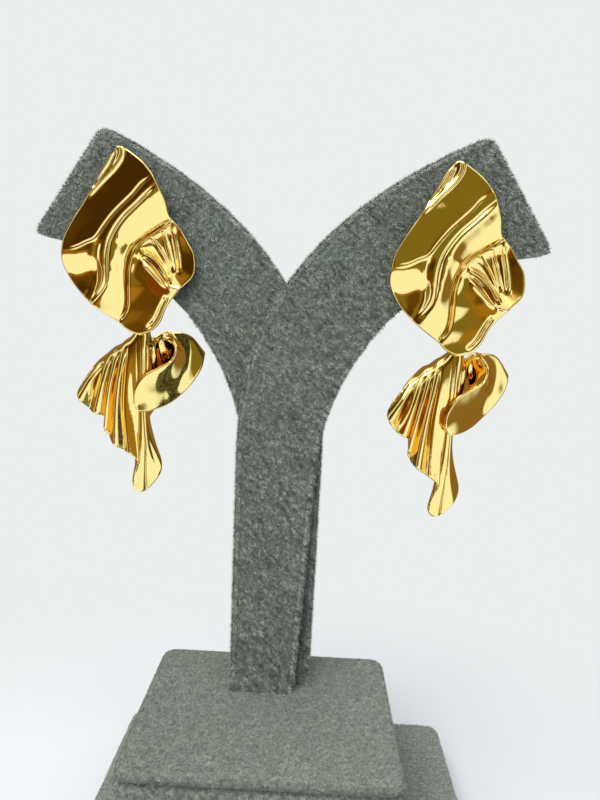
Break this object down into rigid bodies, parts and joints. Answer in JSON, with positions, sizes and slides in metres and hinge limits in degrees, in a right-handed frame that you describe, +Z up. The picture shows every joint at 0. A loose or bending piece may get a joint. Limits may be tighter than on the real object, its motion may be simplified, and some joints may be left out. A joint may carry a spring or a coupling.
{
  "type": "dangle earring pair on display stand",
  "caption": "Crumpled polished metal plates with ruffled hanging drops, posted through the arms of a plain velvet Y-shaped display stand.",
  "frame": {"origin": "middle of the underside of the stand's plinth", "axes": "+Z up, +X to the viewer's right, the viewer in front on the -Y side"},
  "size_m": [0.1112, 0.07, 0.1524],
  "materials": {
    "gold": "mirror-polished gold plate with fine surface ripple",
    "velvet": "short-pile grey-green velvet plush"
  },
  "bodies": {
    "root": {"plinth": "velvet", "block": "velvet", "top_board": "velvet", "arm_left": "velvet", "arm_right": "velvet", "plate_left": "gold", "ear_nut_left": "gold", "plate_right": "gold", "ear_nut_right": "gold"},
    "ring_left": {"jump_ring_left": "gold"},
    "drop_left": {"drop_left": "gold"},
    "ring_right": {"jump_ring_right": "gold"},
    "drop_right": {"drop_right": "gold"}
  },
  "joints": [
    {"name": "ring_left_sway", "type": "hinge", "parent": "root", "child": "ring_left", "pos_m": [-0.0353, 0.01834, 0.11333], "axis": [0, 1, 0], "range_deg": [-10, 10]},
    {"name": "drop_left_swing", "type": "hinge", "parent": "ring_left", "child": "drop_left", "pos_m": [-0.03528, 0.01834, 0.11093], "axis": [1, 0, 0], "range_deg": [-6, 40]},
    {"name": "ring_right_sway", "type": "hinge", "parent": "root", "child": "ring_right", "pos_m": [0.03469, 0.01354, 0.11207], "axis": [0, 1, 0], "range_deg": [-10, 10]},
    {"name": "drop_right_swing", "type": "hinge", "parent": "ring_right", "child": "drop_right", "pos_m": [0.03467, 0.01354, 0.10967], "axis": [1, 0, 0], "range_deg": [-6, 40]}
  ]
}
